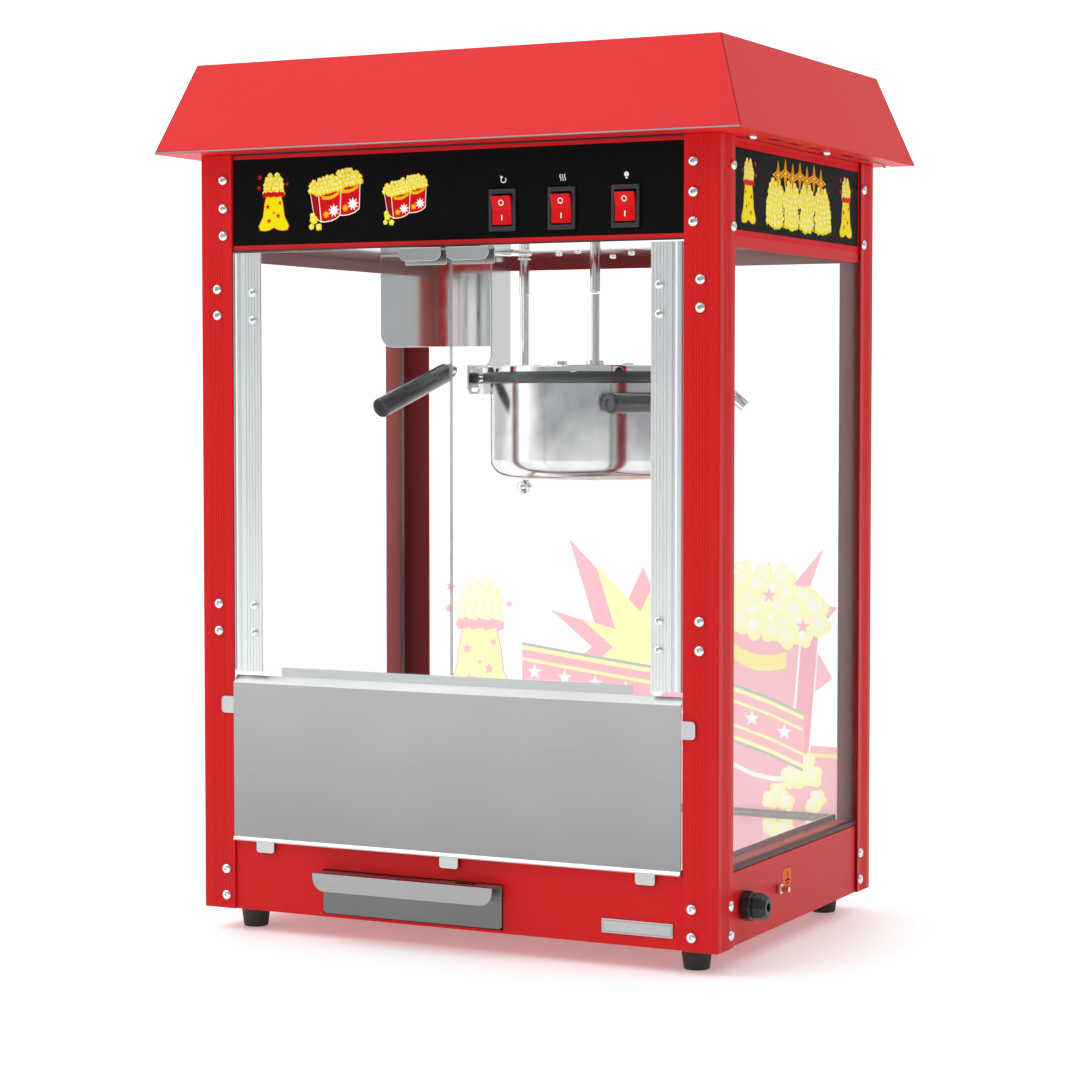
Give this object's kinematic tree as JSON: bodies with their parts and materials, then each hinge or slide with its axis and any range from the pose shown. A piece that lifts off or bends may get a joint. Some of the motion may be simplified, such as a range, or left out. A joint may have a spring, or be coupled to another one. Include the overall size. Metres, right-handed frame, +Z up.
{
  "type": "popcorn maker",
  "caption": "Countertop popcorn maker with a glazed cabinet, a tilting kettle under a stirrer drive, swinging front doors, a slide-out deck tray, a crumb drawer and a red hipped roof.",
  "frame": {"origin": "on the floor, under the middle of the cabinet", "axes": "+Z up, the doors face -Y, +X to the right seen from the front"},
  "size_m": [0.56, 0.417, 0.77],
  "materials": {
    "red_powder_coat": "gloss powder coat",
    "brushed_stainless": "brushed",
    "polished_stainless": "mirror polished",
    "natural_aluminium": "satin anodised",
    "dark_rim_steel": "satin, darkened",
    "black_rubber": "matte",
    "black_moulding": "satin",
    "red_rocker": "gloss",
    "plain_brass": "bright",
    "white_ceramic": "glazed",
    "clear_pane": "clear",
    "motor_casing": "cast, dull"
  },
  "bodies": {
    "cabinet": {"corner_post_front_left": "red_powder_coat", "foot_front_left": "black_rubber", "corner_post_front_right": "red_powder_coat", "foot_front_right": "black_rubber", "corner_post_back_left": "red_powder_coat", "foot_back_left": "black_rubber", "corner_post_back_right": "red_powder_coat", "foot_back_right": "black_rubber", "base_pan": "red_powder_coat", "base_front_panel": "red_powder_coat", "header_front_panel": "red_powder_coat", "header_back_panel": "red_powder_coat", "header_left_panel": "red_powder_coat", "header_right_panel": "red_powder_coat", "roof_shell": "red_powder_coat", "drawer_runner_left": "brushed_stainless", "window_left": "clear_pane", "hinge_rail_left": "natural_aluminium", "kettle_hanger_left": "polished_stainless", "drawer_runner_right": "brushed_stainless", "window_right": "clear_pane", "hinge_rail_right": "natural_aluminium", "kettle_hanger_right": "polished_stainless", "badge_plate": "natural_aluminium", "ceiling_plate": "polished_stainless", "window_back": "clear_pane", "door_catch": "brushed_stainless", "gear_motor": "motor_casing", "lamp_shield": "polished_stainless", "lamp_holder": "white_ceramic", "lamp_bulb": "clear_pane", "rear_rod": "polished_stainless", "cable_gland": "black_moulding", "earth_stud": "plain_brass", "switch_body_1": "black_moulding", "switch_body_2": "black_moulding", "switch_body_3": "black_moulding"},
    "door_left": {"door_left_stile": "natural_aluminium", "door_left_glass": "clear_pane", "door_left_pull": "brushed_stainless"},
    "door_right": {"door_right_stile": "natural_aluminium", "door_right_glass": "clear_pane", "door_right_pull": "brushed_stainless"},
    "deck_tray": {"deck_tray": "brushed_stainless"},
    "crumb_drawer": {"crumb_drawer": "brushed_stainless", "drawer_handle": "brushed_stainless"},
    "kettle": {"kettle_pot": "dark_rim_steel", "kettle_shell": "polished_stainless", "lid_bridge": "polished_stainless", "tilt_lever": "polished_stainless", "tilt_grip": "black_moulding", "carry_bracket": "polished_stainless", "carry_grip": "black_moulding"},
    "lid_front": {"lid_flap_front": "polished_stainless"},
    "lid_back": {"lid_flap_back": "polished_stainless"},
    "stirrer": {"stirrer": "polished_stainless"},
    "drive": {"drive_sleeve": "polished_stainless"},
    "rocker_1": {"switch_rocker_1": "red_rocker"},
    "rocker_2": {"switch_rocker_2": "red_rocker"},
    "rocker_3": {"switch_rocker_3": "red_rocker"}
  },
  "joints": [
    {"name": "door_left_hinge", "type": "hinge", "parent": "cabinet", "child": "door_left", "pos_m": [-0.2128, -0.1755, 0.42], "axis": [0, 0, -1], "range_deg": [0, 90]},
    {"name": "door_right_hinge", "type": "hinge", "parent": "cabinet", "child": "door_right", "pos_m": [0.2128, -0.1755, 0.42], "axis": [0, 0, 1], "range_deg": [0, 90]},
    {"name": "tray_slide", "type": "slide", "parent": "cabinet", "child": "deck_tray", "axis": [0, -1, 0], "range_m": [0, 0.3]},
    {"name": "drawer_slide", "type": "slide", "parent": "cabinet", "child": "crumb_drawer", "axis": [0, -1, 0], "range_m": [0, 0.21]},
    {"name": "kettle_tilt", "type": "hinge", "parent": "cabinet", "child": "kettle", "pos_m": [0.052, 0, 0.4935], "axis": [1, 0, 0], "range_deg": [0, 68]},
    {"name": "lid_front_hinge", "type": "hinge", "parent": "kettle", "child": "lid_front", "pos_m": [0.052, -0.0124, 0.5048], "axis": [-1, 0, 0], "range_deg": [0, 60]},
    {"name": "lid_back_hinge", "type": "hinge", "parent": "kettle", "child": "lid_back", "pos_m": [0.052, 0.0124, 0.5048], "axis": [1, 0, 0], "range_deg": [0, 60]},
    {"name": "stirrer_spin", "type": "hinge", "parent": "kettle", "child": "stirrer", "pos_m": [0.052, 0, 0.4935], "axis": [0, 0, 1], "continuous": true},
    {"name": "drive_spin", "type": "hinge", "parent": "cabinet", "child": "drive", "pos_m": [0.052, 0, 0.59], "axis": [0, 0, 1], "continuous": true},
    {"name": "rocker_1_rock", "type": "hinge", "parent": "cabinet", "child": "rocker_1", "pos_m": [0.0515, -0.1765, 0.6334], "axis": [-1, 0, 0], "range_deg": [0, 14]},
    {"name": "rocker_2_rock", "type": "hinge", "parent": "cabinet", "child": "rocker_2", "pos_m": [0.107, -0.1765, 0.6334], "axis": [-1, 0, 0], "range_deg": [0, 14]},
    {"name": "rocker_3_rock", "type": "hinge", "parent": "cabinet", "child": "rocker_3", "pos_m": [0.1655, -0.1765, 0.6334], "axis": [-1, 0, 0], "range_deg": [0, 14]}
  ],
  "couplings": [
    {"joint": "drive_spin", "follows": "stirrer_spin", "ratio": 1}
  ]
}
